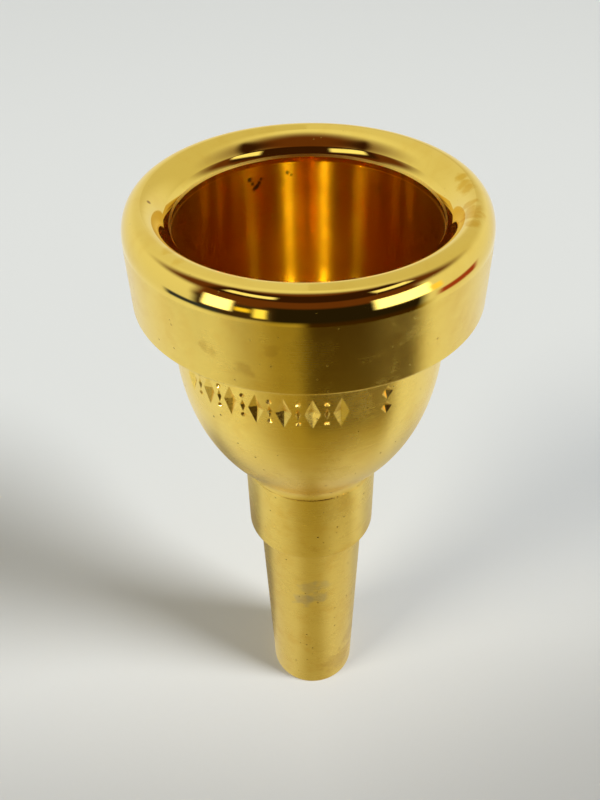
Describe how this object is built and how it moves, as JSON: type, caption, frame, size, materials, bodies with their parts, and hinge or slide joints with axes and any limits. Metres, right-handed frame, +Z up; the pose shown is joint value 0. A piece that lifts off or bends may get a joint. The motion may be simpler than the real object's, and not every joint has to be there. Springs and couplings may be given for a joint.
{
  "type": "trombone mouthpiece",
  "caption": "Gold-plated brass mouthpiece with a rounded rim on a plain band, a bowl-shaped cup and a tapered shank with a collar.",
  "frame": {"origin": "centre of the flat end face of the shank's tip", "axes": "+Z up the air path, from the shank's tip towards the rim; the shape is turned about Z, so +X has no feature of its own"},
  "size_m": [0.0388, 0.0388, 0.0848],
  "materials": {
    "polished_gold": "mirror-polished gold plate over brass, with a satin band",
    "satin_gold": "satin gold plate over brass, with small pits and fine lathe lines",
    "brushed_gold": "brushed gold plate over brass, worn and smudged where the shank enters the receiver",
    "black_rubber": "matt black nitrile rubber"
  },
  "bodies": {
    "shank": {"shank": "brushed_gold"},
    "shank_seal": {"shank_seal_ring": "black_rubber"},
    "cup": {"cup": "satin_gold"},
    "rim_seal": {"rim_seal_ring": "black_rubber"},
    "rim": {"rim": "polished_gold"}
  },
  "joints": [
    {"name": "cup_rise", "type": "slide", "parent": "shank", "child": "shank_seal", "axis": [0, 0, 1], "range_m": [0, 0.0035]},
    {"name": "cup_turn", "type": "hinge", "parent": "shank_seal", "child": "cup", "pos_m": [0, 0, 0.04695], "axis": [0, 0, 1], "range_deg": [0, 1261]},
    {"name": "rim_rise", "type": "slide", "parent": "cup", "child": "rim_seal", "axis": [0, 0, 1], "range_m": [0, 0.0035]},
    {"name": "rim_turn", "type": "hinge", "parent": "rim_seal", "child": "rim", "pos_m": [0, 0, 0.08145], "axis": [0, 0, 1], "range_deg": [0, 1261]}
  ],
  "couplings": [
    {"joint": "cup_turn", "follows": "cup_rise", "rad_per_m": 6283.2},
    {"joint": "rim_turn", "follows": "rim_rise", "rad_per_m": 6283.2}
  ]
}
